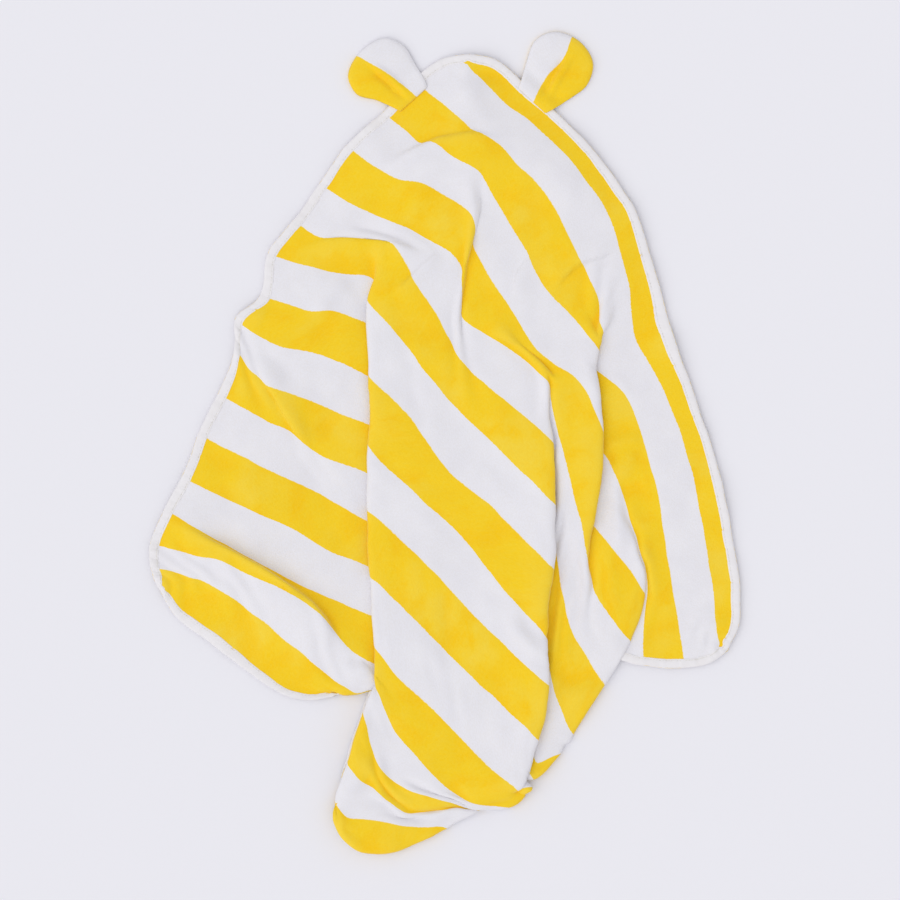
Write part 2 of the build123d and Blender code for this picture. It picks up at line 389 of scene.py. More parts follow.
# Creases in the top layer: what kind, how high, how wide, and the line, all in millimetres. A
# "roll" is a rounded fold whose steep side is to the left of its line and leans over it, and a
# "ridge" rises or sinks along it. The ears also have a "step", higher to the left of its line.
ROLL_LEAN = 1.1          # how far a roll leans over, for its height
ROLL_DROP = 0.3          # how wide its steep side is, for its width
CREASES = [
    (
        "roll", 9.0, 27,
        [(-276, -66), (-229, -99), (-186, -122), (-163, -137), (-134, -158), (-108, -186), (-86, -212)],
    ),
    ("roll", 4.0, 14, [(-63, 279), (-21, 298), (-7, 304), (27, 310), (58, 308)]),
    ("roll", 3.5, 13, [(36, 270), (34, 238), (28, 212), (18, 178), (15, 155), (15, 125)]),
    ("roll", 3.2, 12, [(-148, 196), (-119, 204), (-104, 205), (-66, 203), (-51, 200), (-12, 190)]),
    ("roll", 3.0, 11, [(-58, 145), (-47, 157), (-36, 164), (-19, 180), (-6, 196)]),
    ("roll", 3.0, 12, [(-133, -7), (-145, 9), (-154, 22), (-169, 49), (-181, 66), (-196, 92)]),
    ("roll", 3.4, 13, [(181, 194), (160, 190), (140, 184), (129, 179), (116, 166), (108, 146)]),
    ("roll", 2.8, 12, [(106, 80), (72, 102), (29, 118)]),
    ("roll", 2.4, 10, [(66, 145), (72, 169), (86, 192)]),
    ("ridge", 2.8, 8, [(-93, 172), (-109, 155), (-122, 140), (-135, 126)]),
    ("ridge", 1.6, 8, [(-119, 175), (-134, 162), (-149, 149)]),
    ("ridge", -1.8, 8, [(-192, 99), (-170, 86), (-145, 58)]),
    ("ridge", -1.8, 7, [(28, 370), (48, 369), (70, 366)]),
    ("ridge", -2.4, 12, [(-140, -5), (-122, -35), (-105, -65)]),
    ("ridge", -2.0, 12, [(-128, 24), (-110, 12)]),
    ("ridge", 2.6, 8, [(67, -163), (70, -185), (85, -200), (99, -213)]),
    ("ridge", -2.4, 8, [(78, -158), (84, -182), (100, -196)]),
    ("ridge", -2.6, 6, [(112, -98), (111, -122), (108, -150), (104, -185)]),
    ("ridge", 2.8, 6, [(158, -6), (172, 2), (198, 9)]),
    ("ridge", 2.6, 8, [(188, -4), (182, -20), (171, -33)]),
    ("ridge", -2.6, 8, [(168, -42), (184, -46), (202, -38)]),
    ("ridge", -2.4, 8, [(160, -13), (172, -14)]),
    ("ridge", 2.8, 6, [(171, -34), (173, -60), (173, -85), (175, -112)]),
    ("ridge", -2.2, 6, [(161, -30), (158, -60), (155, -85)]),
    ("ridge", 2.8, 8, [(159, -92), (163, -120), (168, -150), (173, -176)]),
    ("ridge", -3.0, 9, [(108, -234), (134, -231), (157, -222)]),
    ("ridge", 2.6, 8, [(112, -256), (135, -249), (158, -241)]),
    ("ridge", 3.0, 11, [(-198, 140), (-190, 133), (-178, 128)]),
    ("ridge", 2.4, 6, [(-99, -222), (-90, -226), (-78, -222)]),
    ("ridge", -2.2, 6, [(-98, -212), (-90, -216), (-80, -211)]),
    ("ridge", -2.0, 13, [(-72, -268), (-62, -288), (-50, -306)]),
    ("ridge", 1.8, 9, [(-97, -312), (-80, -318), (-60, -330)]),
]


def blend_in(x, low, high):
    """0 below low, 1 above high, and smooth between."""
    u = np.clip((x - low) / (high - low), 0.0, 1.0)
    return u * u * (3 - 2 * u)


def at_least(x, low, soft):
    """x kept above low, turning smoothly over about soft."""
    d = x - low
    return low + (d + np.sqrt(d * d + soft * soft)) / 2


def finer(grid):
    """Twice as many points each way, on a smooth curve through those of grid."""
    for axis in (0, 1):
        grid = np.moveaxis(grid, axis, 0)
        padded = np.concatenate([2 * grid[:1] - grid[1:2], grid, 2 * grid[-1:] - grid[-2:-1]])
        middle = (9 * (grid[:-1] + grid[1:]) - padded[:-3] - padded[3:]) / 16
        out = np.empty((2 * len(grid) - 1, *grid.shape[1:]))
        out[::2], out[1::2] = grid, middle
        grid = np.moveaxis(out, 0, axis)
    return grid


def smooth(grid, rounds):
    """Averages each point with its neighbours, and a point on the edge with those along it."""
    grid = grid.copy()
    for _ in range(rounds):
        around = grid[:-2, 1:-1] + grid[2:, 1:-1] + grid[1:-1, :-2] + grid[1:-1, 2:]
        grid[1:-1, 1:-1] = grid[1:-1, 1:-1] / 2 + around / 8
        for edge in (grid[0], grid[-1], grid[:, 0], grid[:, -1]):
            edge[1:-1] = edge[1:-1] / 2 + (edge[:-2] + edge[2:]) / 4
    return grid


def ripples(points):
    """Small wrinkles: shifts points by their place on the floor, so that layers stay in order."""
    noise.seed_set(RIPPLE_SEED)
    shift = np.zeros_like(points)
    for i, (x, y, _) in enumerate(points):
        for size, length, reach in RIPPLES:
            at = Vector((x, y, 0.0)) / (length * MM)
            lift = noise.noise(at + Vector((0, 0, length)))
            slide = noise.noise_vector(at + Vector((0, 0, 2 * length)))
            shift[i] += (slide.x * reach, slide.y * reach, (lift + 0.5) * size)
    still = np.ones(len(points))
    for seam in EAR_SEAMS:
        middle = np.mean(seam, axis=0) * MM
        away = np.linalg.norm(points[:, :2] - middle, axis=1)
        still *= blend_in(away, 30 * MM, 65 * MM)
    return shift * MM * still[:, None]


def seen_from_above(points, faces):
    """1 at each point with nothing over it, 0 at the others."""
    tree = BVHTree.FromPolygons([Vector(p) for p in points], faces)
    lift = TERRY * MM * 0.7
    return np.array(
        [tree.ray_cast(Vector((x, y, z + lift)), Vector((0, 0, 1)))[0] is None for x, y, z in points],
        float,
    )


def crease(points, seen, kind, height, width, line):
    """How far one crease shifts each point, in metres."""
    line = np.array(line, float) * MM
    nearest = np.full(len(points), np.inf)
    signed = np.zeros(len(points))
    where = np.zeros(len(points))
    left = np.zeros((len(points), 2))
    runs = np.linalg.norm(np.diff(line, axis=0), axis=1)
    start = np.concatenate([[0.0], np.cumsum(runs)])
    for i, run in enumerate(runs):
        ahead = (line[i + 1] - line[i]) / run
        away = points[:, :2] - line[i]
        u = np.clip(away @ ahead, 0.0, run)
        distance = np.linalg.norm(away - u[:, None] * ahead, axis=1)
        closer = distance < nearest
        nearest = np.where(closer, distance, nearest)
        turn = np.sign(ahead[0] * away[:, 1] - ahead[1] * away[:, 0])
        signed = np.where(closer, turn * distance, signed)
        where = np.where(closer, start[i] + u, where)
        left = np.where(closer[:, None], (-ahead[1], ahead[0]), left)
    x = signed / (width * MM)
    if kind == "roll":
        x = x + ROLL_LEAN * height / width
        x = np.where(x > 0, x / ROLL_DROP, x)
    shape = x * np.exp(0.5 - x * x / 2) if kind == "step" else np.exp(-x * x)
    ends = blend_in(where, 0.0, 0.3 * start[-1]) * (1 - blend_in(where, 0.7 * start[-1], start[-1]))
    size = seen * height * MM * shape * (0.15 + 0.85 * ends)
    shift = np.zeros_like(points)
    shift[:, 2] = size
    if kind == "roll":
        shift[:, :2] = ROLL_LEAN * size[:, None] * left
    return shift


class Cloth:
    """The towel's middle surface, looked up by its place on the flat pattern."""

    def __init__(self, surface):
        self.surface = surface
        self.cell = SIDE / (len(surface) - 1)

    def grid_place(self, flat):
        """Undoes flat_pattern: the place in the square grid of a point of the pattern, in cells."""
        near_far = flat > SIDE / 2
        centre = np.where(near_far, SIDE - CORNER_RADIUS, CORNER_RADIUS)
        away = flat - centre
        outward = np.where(near_far, away > 0, away < 0).all(axis=-1, keepdims=True)
        length = np.linalg.norm(away, axis=-1, keepdims=True)
        longest = np.maximum(abs(away).max(axis=-1, keepdims=True), 1e-9)
        return np.where(outward, centre + away * length / longest, flat) / self.cell

    def at(self, flat):
        place = np.clip(self.grid_place(flat), 0, len(self.surface) - 1.0001)
        i, j = np.moveaxis(place.astype(int), -1, 0)
        u, v = np.moveaxis(place - place.astype(int), -1, 0)[..., None]
        g = self.surface
        low = g[i, j] * (1 - v) + g[i, j + 1] * v
        high = g[i + 1, j] * (1 - v) + g[i + 1, j + 1] * v
        return low * (1 - u) + high * u


def hem(u):
    """Places on the pattern's edge, and the way in from each, at the distances u along it."""
    straight = SIDE - 2 * CORNER_RADIUS
    leg = straight + math.pi / 2 * CORNER_RADIUS
    turns = np.floor(u / leg).astype(int) % 4
    v = u - np.floor(u / leg) * leg
    angle = np.maximum(v - straight, 0.0) / CORNER_RADIUS
    inward = np.stack([np.cos(angle), -np.sin(angle)], axis=-1)
    centre = np.array([CORNER_RADIUS, 0.0]) + np.minimum(v, straight)[:, None] * (0.0, 1.0)
    place = centre + (0.0, CORNER_RADIUS) - inward * CORNER_RADIUS - SIDE / 2
    for k in range(1, 4):
        turned = (turns >= k)[:, None]
        place = np.where(turned, np.stack([place[:, 1], -place[:, 0]], axis=-1), place)
        inward = np.where(turned, np.stack([inward[:, 1], -inward[:, 0]], axis=-1), inward)
    return place + SIDE / 2, inward


HEM_LENGTH = 4 * (SIDE - 2 * CORNER_RADIUS) + 2 * math.pi * CORNER_RADIUS


def unit(vectors):
    """The vectors at length 1."""
    return vectors / np.maximum(np.linalg.norm(vectors, axis=-1, keepdims=True), 1e-12)


def hem_strip(cloth, u, insets):
    """Points on the cloth at each inset from the hem, and the way up at each."""
    place, inward = hem(u)
    flat = place[:, None] + inward[:, None] * np.maximum(insets, 0.0)[None, :, None]
    points = cloth.at(flat)
    step = unit(cloth.at(place + inward * 4.0) - cloth.at(place))
    points = points + step[:, None] * np.minimum(insets, 0.0)[None, :, None] * MM
    forward = np.roll(points, -1, 0) - np.roll(points, 1, 0)
    for _ in range(3):
        step = (np.roll(step, 1, 0) + 2 * step + np.roll(step, -1, 0)) / 4
    up = unit(np.cross(np.broadcast_to(step[:, None], points.shape), forward))
    return points, up


def loop_faces(rings, sides):
    """Quads of a tube of rings that closes both ways."""
    faces = []
    for i in range(rings):
        here, there = i * sides, (i + 1) % rings * sides
        for k in range(sides):
            after = (k + 1) % sides
            faces.append((here + k, there + k, there + after, here + after))
    return faces


def put_flat(piece, flat):
    """Gives each point of the mesh its place on the flat pattern, as UV, 0 to 1 over SIDE."""
    layer = piece.data.uv_layers.new(name="flat")
    corner = np.empty(len(piece.data.loops), int)
    piece.data.loops.foreach_get("vertex_index", corner)
    layer.data.foreach_set("uv", (np.asarray(flat) / SIDE)[corner].ravel())


def thicken(piece, thickness):
    """Makes a single layer into cloth of this thickness, in millimetres."""
    solid = piece.modifiers.new("thickness", "SOLIDIFY")
    solid.thickness = thickness * MM
    solid.offset = 0.0
    solid.use_rim = True


def binding(name, base, up, run, half_height, material, seed, closed=True):
    """A folded tape sewn over an edge, with the small puckers that its stitches draw in.

    base is where the middle of its section lies, one row of points for each step of run along it.
    """
    draw = np.random.default_rng(seed)
    pucker = np.zeros(len(run))
    for period, size in ((7.0, 0.07), (10.9, 0.07), (29.5, 0.06)):
        waves = round(len(run) * TAPE_STEP / period)
        phase = run / (run[-1] + TAPE_STEP) * waves * 2 * math.pi + draw.uniform(0.0, 6.3)
        pucker += size * np.sin(phase)
    fullness = 1.0 + pucker[:, None] * (0.6 + TAPE_INSETS / BINDING_WIDTH)
    points = base + up * (TAPE_HEIGHTS * fullness * half_height * MM)[..., None]
    points[..., 2] = np.maximum(points[..., 2], TOUCH * MM)
    rings, sides = points.shape[:2]
    faces = loop_faces(rings, sides)
    if not closed:
        faces = faces[: (rings - 1) * sides]
        faces.append(tuple(range(sides)))
        faces.append(tuple((rings - 1) * sides + k for k in reversed(range(sides))))
    piece = new_piece(name, points.reshape(-1, 3), faces, material)
    steps = np.hypot(np.diff(TAPE_INSETS), np.diff(TAPE_HEIGHTS) * half_height)
    girth = np.concatenate([[0.0], np.cumsum(steps)])
    put_flat(piece, np.stack(np.meshgrid(run, girth, indexing="ij"), axis=-1).reshape(-1, 2))
    return piece


# One stitch: how far along it, how thick and how far raised, over its length and radius.
STITCH_SHAPE = [(-0.5, 0.4, -1.0), (-0.36, 0.9, 0.0), (0.0, 1.0, 0.5), (0.36, 0.9, 0.0), (0.5, 0.4, -1.0)]
STITCH_SIDES = 6


def stitches(name, middles, ahead, up, lift, material, seed):
    """A row of lockstitches on both faces of a seam, each its own short bow of thread."""
    draw = np.random.default_rng(seed)
    points, faces = [], []
    for middle, forward, rise in zip(middles, ahead, up):
        side = np.cross(forward, rise)
        forward = unit(forward + side * draw.normal(0, 0.05))
        length = STITCH_LENGTH * draw.uniform(0.92, 1.05)
        for face in (1, -1):
            first = len(points)
            for run, girth, raised in STITCH_SHAPE:
                height = face * (lift + STITCH_RADIUS * raised)
                centre = middle + (forward * run * length + rise * height) * MM
                for k in range(STITCH_SIDES):
                    angle = 2 * math.pi * k / STITCH_SIDES
                    out = side * math.cos(angle) + rise * math.sin(angle)
                    points.append(centre + out * girth * STITCH_RADIUS * MM)
            rings = len(STITCH_SHAPE)
            tube = loop_faces(rings, STITCH_SIDES)[: (rings - 1) * STITCH_SIDES]
            faces += [tuple(first + k for k in face_points) for face_points in tube]
            faces.append(tuple(first + k for k in range(STITCH_SIDES)))
            last = first + (rings - 1) * STITCH_SIDES
            faces.append(tuple(last + k for k in reversed(range(STITCH_SIDES))))
    points = np.array(points)
    points[:, 2] = np.maximum(points[:, 2], TOUCH * MM)
    return new_piece(name, points, faces, material)


class Material:
    """A node material with one Principled surface, and short ways to add nodes to it."""

    def __init__(self, name, roughness, sheen):
        self.material = bpy.data.materials.new(name)
        self.material.use_nodes = True
        self.tree = self.material.node_tree
        self.surface = self.tree.nodes["Principled BSDF"]
        self.surface.inputs["Roughness"].default_value = roughness
        self.surface.inputs["Specular IOR Level"].default_value = 0.2
        self.surface.inputs["Sheen Weight"].default_value = sheen
        self.surface.inputs["Sheen Roughness"].default_value = 0.5

    def put(self, socket, value):
        if isinstance(value, bpy.types.NodeSocket):
            self.tree.links.new(value, socket)
        else:
            socket.default_value = value

    def node(self, kind, **inputs):
        node = self.tree.nodes.new(kind)
        for name, value in inputs.items():
            self.put(node.inputs[name.replace("_", " ")], value)
        return node

    def math(self, operation, a, b):
        node = self.tree.nodes.new("ShaderNodeMath")
        node.operation = operation
        self.put(node.inputs[0], a)
        self.put(node.inputs[1], b)
        return node.outputs[0]

    def ramp(self, value, low, high, to_low=0.0, to_high=1.0):
        node = self.node("ShaderNodeMapRange", Value=value, From_Min=low, From_Max=high)
        node.inputs["To Min"].default_value = to_low
        node.inputs["To Max"].default_value = to_high
        return node.outputs["Result"]

    def mix(self, factor, a, b, blend="MIX"):
        node = self.tree.nodes.new("ShaderNodeMix")
        node.data_type = "RGBA"
        node.blend_type = blend
        factor_socket, a_socket, b_socket = node.inputs[0], node.inputs[6], node.inputs[7]
        self.put(factor_socket, factor)
        for socket, colour in ((a_socket, a), (b_socket, b)):
            self.put(socket, (*colour, 1.0) if isinstance(colour, tuple) else colour)
        return node.outputs[2]

    def noise(self, where, scale, detail=2.0, roughness=0.5):
        node = self.node(
            "ShaderNodeTexNoise", Vector=where, Scale=scale, Detail=detail, Roughness=roughness
        )
        return node.outputs["Fac"]

    def flat(self):
        """The point on the flat pattern, 0 to 1 over SIDE."""
        node = self.tree.nodes.new("ShaderNodeUVMap")
        node.uv_map = "flat"
        return node.outputs["UV"]

    def bands(self, where, period, direction, distortion):
        """Ridges this far apart."""
        scale = math.pi / 10 / period
        node = self.node("ShaderNodeTexWave", Vector=where, Scale=scale, Distortion=distortion)
        node.bands_direction = direction
        return node.outputs["Fac"]

    def finish(self, colour, height, depth):
        """Colours the surface, and raises it by height times depth, in metres."""
        self.put(self.surface.inputs["Base Color"], colour)
        bump = self.node("ShaderNodeBump", Height=height, Distance=depth, Strength=1.0)
        self.tree.links.new(bump.outputs["Normal"], self.surface.inputs["Normal"])
        return self.material


WHITE = (0.825, 0.81, 0.855)
WHITE_SHADE = (0.80, 0.785, 0.835)
YELLOW = (0.93, 0.63, 0.012)
YELLOW_PALE = (0.92, 0.665, 0.05)
YELLOW_DEEP = (0.94, 0.575, 0.002)
TAPE_WHITE = (0.85, 0.825, 0.845)
TAPE_SHADE = (0.835, 0.805, 0.82)
PILE = 1.3               # from one tuft of the pile to the next


def terry(name, striped):
    """Cotton terry: small tufts with painted shade in the gaps between them, soft patches where
    the pile leans, and dyed stripes. The yellow also gets a painted highlight on the cloth's
    crests and painted shade, deeper and more orange, in its hollows.
    """
    m = Material(name, roughness=0.93, sheen=0.25)
    flat = m.flat()
    lean = m.noise(flat, 24.0, detail=3.0, roughness=0.55)
    patch = m.noise(flat, 9.0, detail=2.0)
    fuzz = m.noise(flat, SIDE / 3.0, detail=3.0, roughness=0.7)
    tuft = m.node("ShaderNodeTexVoronoi", Vector=flat, Scale=SIDE / PILE, Randomness=0.9)
    pile = m.ramp(tuft.outputs["Distance"], 0.0, 0.7, 1.0, 0.0)
    colour = m.mix(m.ramp(lean, 0.35, 0.65), WHITE_SHADE, WHITE)
    if striped:
        split = m.node("ShaderNodeSeparateXYZ", Vector=flat)
        ragged = m.math("MULTIPLY", m.math("SUBTRACT", fuzz, 0.5), 2.0 / SIDE)
        across_cloth = m.math("ADD", split.outputs["X"], ragged)
        shifted = m.math("ADD", across_cloth, (2 * STRIPE - FIRST_STRIPE) / SIDE)
        repeats = m.math("MULTIPLY", shifted, SIDE / (2 * STRIPE))
        phase = m.math("MULTIPLY", m.math("FRACT", repeats, 0.0), 2 * STRIPE)
        in_white = m.ramp(phase, 0.3, -0.3)
        in_yellow = m.math("ADD", m.ramp(phase, STRIPE - 0.4, STRIPE + 0.4), in_white)
        yellow = m.mix(m.ramp(lean, 0.32, 0.5), YELLOW_DEEP, YELLOW)
        pale = m.math("MULTIPLY", m.ramp(patch, 0.5, 0.62), m.ramp(lean, 0.35, 0.6))
        yellow = m.mix(pale, yellow, YELLOW_PALE)
        # Painted highlight and shade: the yellow is paler where the cloth rises over its surroundings and
        # deeper, more orange, where it sinks below them.
        crest = m.tree.nodes.new("ShaderNodeAttribute")
        crest.attribute_name = "relief_painted_light"
        relief_painted_light = m.math("ADD", crest.outputs["Fac"], m.ramp(lean, 0.3, 0.7, -0.15, 0.15))
        yellow = m.mix(m.ramp(relief_painted_light, 0.1, 0.8, 0.0, 0.8), yellow, YELLOW_PALE)
        yellow = m.mix(m.ramp(relief_painted_light, 0.0, -0.5, 0.0, 1.0), yellow, YELLOW_DEEP)
        grain = m.mix(m.ramp(fuzz, 0.35, 0.65), YELLOW_DEEP, YELLOW_PALE)
        yellow = m.mix(0.3, yellow, grain)
        colour = m.mix(in_yellow, colour, yellow)
    # Painted shade: the cloth is a little darker in the gaps between the pile's tufts.
    tuft_gap_shade = m.mix(1.0, colour, (0.98, 0.97, 0.95), "MULTIPLY")
    colour = m.mix(m.ramp(pile, 0.0, 0.5), tuft_gap_shade, colour)
    height = m.math("ADD", m.math("MULTIPLY", pile, 0.6), m.math("MULTIPLY", fuzz, 0.5))
    return m.finish(colour, height, 0.00022)


def bias_tape(name):
    """Plain woven tape, its threads at 45 degrees to its length."""
    m = Material(name, roughness=0.8, sheen=0.1)
    turned = m.node("ShaderNodeMapping", Vector=m.flat())
    turned.inputs["Rotation"].default_value = (0.0, 0.0, math.radians(45))
    where = turned.outputs["Vector"]
    weave = m.math(
        "MAXIMUM",
        m.bands(where, 0.6 / SIDE, "X", 0.5),
        m.bands(where, 0.6 / SIDE, "Y", 0.5),
    )
    worn = m.noise(m.flat(), SIDE / 12.0, detail=3.0)
    colour = m.mix(m.ramp(worn, 0.35, 0.65), TAPE_SHADE, TAPE_WHITE)
    # Painted shade: the tape is a little darker in the low places between its threads.
    colour = m.mix(m.ramp(weave, 0.0, 0.8, 0.3, 0.0), colour, TAPE_SHADE)
    return m.finish(colour, weave, 0.00006)


def thread(name):
    """Twisted sewing thread."""
    m = Material(name, roughness=0.6, sheen=0.1)
    place = m.node("ShaderNodeTexCoord").outputs["Object"]
    twist = m.bands(place, 0.5 * MM, "DIAGONAL", 1.5)
    # Painted shade: the thread is darker in the grooves of its twist.
    return m.finish(m.mix(twist, (0.72, 0.69, 0.63), (0.84, 0.82, 0.78)), twist, 0.00008)


def floor_paper(name):
    """Smooth white paper."""
    m = Material(name, roughness=0.9, sheen=0.0)
    place = m.node("ShaderNodeTexCoord").outputs["Object"]
    grain = m.noise(place, 400.0, detail=4.0)
    colour = m.mix(grain, (0.835, 0.823, 0.868), (0.84, 0.828, 0.873))
    return m.finish(colour, grain, 0.00005)


striped_terry = terry("striped_terry_cloth", striped=True)
plain_terry = terry("plain_terry_cloth", striped=False)
tape_cloth = bias_tape("binding_cloth")
sewing_thread = thread("thread")


def finish_piece(piece, body, slot_name, *nodes):
    """Ties a piece to its body, if it has one, and hides the CAD nodes it stands for."""
    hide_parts(*nodes)
    if body is not None:
        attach(piece, body)


# ---- the towel's own cloth ----
RELIEF = 3.5             # a crest this high, in millimetres, is as pale as the painted highlight on crests gets
RELIEF_ROUNDS = 60
flat_grid = finer(np.stack([across, along], axis=-1))
surface = np.ascontiguousarray(finer(smooth(settled.reshape(GRID, GRID, 3), 2)))
from_hem = np.minimum(flat_grid, SIDE - flat_grid).min(axis=-1)
from_hood_corner = flat_grid.sum(axis=-1) / math.sqrt(2)
in_hood = blend_in(from_hem, 6.0, 55.0) * (1 - blend_in(from_hood_corner, HOOD_DEPTH - 60, HOOD_DEPTH))
surface[..., 2] += (HOOD_LOFT * in_hood - PRESSED) * MM
lowest = FLOOR_GAP + np.where(from_hem < 12.0, BINDING_HALF, TERRY / 2)
lowest = smooth(lowest[..., None], 3)[..., 0]
surface[..., 2] = at_least(surface[..., 2], lowest * MM, 1.0 * MM)

towel_points = surface.reshape(-1, 3)
towel_points += ripples(towel_points)
fine_faces = grid_faces(*surface.shape[:2])
seen = seen_from_above(towel_points, fine_faces)
seen = smooth(seen.reshape(*surface.shape[:2], 1), 3).ravel()
seen = seen * blend_in(from_hem.ravel(), 4.0, 16.0)
towel_points += sum(crease(towel_points, seen, *each) for each in CREASES)
surface[..., 2] = at_least(surface[..., 2], lowest * MM, 0.6 * MM)
towel_cloth = Cloth(surface)

towel = new_piece("towel_cloth", towel_points, fine_faces, striped_terry)
# The height of each point over its smoothed surroundings, for the terry shader: it paints a highlight on
# the crests of the yellow and shade in its hollows.
relief_painted_light = surface[..., 2:] - smooth(surface[..., 2:], RELIEF_ROUNDS)
towel.data.attributes.new("relief_painted_light", "FLOAT", "POINT").data.foreach_set(
    "value", np.clip(relief_painted_light.ravel() / (RELIEF * MM), -1.0, 1.0)
)
put_flat(towel, flat_grid.reshape(-1, 2))
thicken(towel, TERRY)
finish_piece(towel, "towel", "striped_terry", "towel_panel")

# ---- the binding and its stitching ----
tape_count = int(HEM_LENGTH / TAPE_STEP)
tape_u = np.arange(tape_count) * HEM_LENGTH / tape_count
tape_middle, tape_up = hem_strip(towel_cloth, tape_u, TAPE_INSETS)
edge_tape = binding("edge_tape", tape_middle, tape_up, tape_u, BINDING_HALF, tape_cloth, seed=3)
finish_piece(edge_tape, "towel", "binding_tape", "edge_binding")

stitch_count = int(HEM_LENGTH / STITCH_PITCH)
stitch_u = np.arange(stitch_count) * HEM_LENGTH / stitch_count
seam, seam_up = hem_strip(towel_cloth, stitch_u, np.array([STITCH_INSET]))
seam_ahead = unit(np.roll(seam[:, 0], -1, 0) - np.roll(seam[:, 0], 1, 0))
edge_stitches = stitches(
    "edge_stitches",
    seam[:, 0],
    seam_ahead,
    seam_up[:, 0],
    STITCH_SUNK * BINDING_HALF,
    sewing_thread,
    seed=5,
)
finish_piece(edge_stitches, "towel", "sewing_thread", "binding_stitching")

# ---- the hood's own cloth, with its own short binding ----
CORNER_U = -math.pi / 4 * CORNER_RADIUS       # the hood corner, as a distance along the hem
HOOD_LEG = HOOD_DEPTH * math.sqrt(2) - CORNER_RADIUS - CORNER_U
HOOD_ROWS, HOOD_COLUMNS = 61, 91
HOOD_FIRST = 14.0        # how far down the legs the hood's cloth starts
HOOD_EDGE = 1.0          # how far its binding reaches in over its cloth's last row
legs = np.linspace(HOOD_FIRST, HOOD_LEG, HOOD_ROWS)
right_edge = hem_strip(towel_cloth, CORNER_U + legs, np.array([BINDING_WIDTH - 0.8]))[0]
left_edge = hem_strip(towel_cloth, CORNER_U - legs, np.array([BINDING_WIDTH - 0.8]))[0]
w = np.linspace(0.0, 1.0, HOOD_COLUMNS)[None, :, None]
lining = left_edge * (1 - w) + right_edge * w
width = np.linalg.norm(right_edge - left_edge, axis=-1)
from_seam = np.minimum(w, 1 - w)[..., 0] * width
sewn = 1 - blend_in(from_seam, 0.0, LINING_SEAM * MM)
sag = 0.35 * np.sin(lining[..., 0] * 70) * np.sin(lining[..., 1] * 55 + 1.0)
lying = (FLOOR_GAP + LINING / 2 + 0.35 + sag) * MM
lining[..., 2] = lying * (1 - sewn) + (lining[..., 2] - 1.2 * MM) * sewn

hood_cloth = new_piece(
    "hood_cloth", lining.reshape(-1, 3), grid_faces(HOOD_ROWS, HOOD_COLUMNS), plain_terry
)
put_flat(hood_cloth, lining.reshape(-1, 3)[:, :2] / MM + SIDE / 2)
thicken(hood_cloth, LINING)
finish_piece(hood_cloth, "towel", "hood_terry", "hood_panel")

opening_left, opening_right = lining[-1, 2], lining[-1, -3]
opening = opening_right - opening_left
opening_length = np.linalg.norm(opening) / MM
opening_run = unit(opening)
opening_in = np.array([-opening_run[1], opening_run[0], 0.0])
run = np.arange(0.0, opening_length, TAPE_STEP)
hood_insets = TAPE_INSETS - BINDING_WIDTH + HOOD_EDGE
hood_hem = opening_left + run[:, None, None] * MM * opening_run + hood_insets[:, None] * MM * opening_in
hood_hem[..., 2] = (FLOOR_GAP + HOOD_HEM_HALF) * MM
straight_up = np.broadcast_to((0.0, 0.0, 1.0), hood_hem.shape)
hood_tape = binding(
    "hood_tape", hood_hem, straight_up, run, HOOD_HEM_HALF, tape_cloth, seed=7, closed=False
)
finish_piece(hood_tape, "towel", "binding_tape", "hood_hem_binding")

hood_run = np.arange(STITCH_PITCH, opening_length - STITCH_PITCH, STITCH_PITCH)
hood_seam = opening_left + hood_run[:, None] * MM * opening_run
hood_seam = hood_seam + (STITCH_INSET - BINDING_WIDTH + HOOD_EDGE) * MM * opening_in
hood_seam[:, 2] = (FLOOR_GAP + HOOD_HEM_HALF) * MM
hood_stitches = stitches(
    "hood_stitches",
    hood_seam,
    np.broadcast_to(opening_run, hood_seam.shape),
    np.broadcast_to((0.0, 0.0, 1.0), hood_seam.shape),
    STITCH_SUNK * HOOD_HEM_HALF,
    sewing_thread,
    seed=9,
)
finish_piece(hood_stitches, "towel", "sewing_thread", "hood_hem_stitching")

# ---- the ears ----
EAR_CLOTH = 1.7          # thickness of each of an ear's two cloths
EAR_FLANGE = 8.2         # how far an ear reaches in over the binding
EAR_TAPER = 0.018        # how fast it narrows there, per millimetre
EAR_PUFF = 3.4
EAR_PINCH = 2.8          # height of the pinched fold in each ear
EAR_BEND = 14.0          # the stretch beside the seam that bends when an ear flops

# Each ear: the ends of its seam on the hood's edge, points round its outline, the line between its
# white and its yellow part, the pinched fold, and which side of that line is yellow.
EARS = {
    "ear_left": {
        "seam": EAR_SEAMS[0],
        "outline": [(-69, 345), (-88, 351), (-96, 366), (-84, 393), (-60, 406), (-42, 399), (-30, 381)],
        "stripe": [(-92, 391), (-60, 372), (-40, 357), (-24, 344)],
        "yellow_side": -1,
        "back_turned": False,
        "fold": [(-76, 379), (-56, 364), (-37, 346)],
        "stations": (0.33, 0.68),
    },
    "ear_right": {
        "seam": EAR_SEAMS[1],
        "outline": [(82, 384), (90, 403), (108, 412), (134, 403), (147, 383), (141, 359), (126, 347)],
        "stripe": [(127, 409), (118, 386), (103, 370), (95, 357), (88, 342)],
        "yellow_side": 1,
        "back_turned": True,
        "fold": [(124, 389), (111, 368), (100, 347)],
        "stations": (0.30, 0.66),
    },
}


def line_through(points, at):
    """A smooth line through points, at fractions of its length."""
    points = np.array(points, float)
    run = np.concatenate([[0.0], np.cumsum(np.linalg.norm(np.diff(points, axis=0), axis=1))])
    return curve(run, points, smooth_slopes(run, points), np.asarray(at) * run[-1])


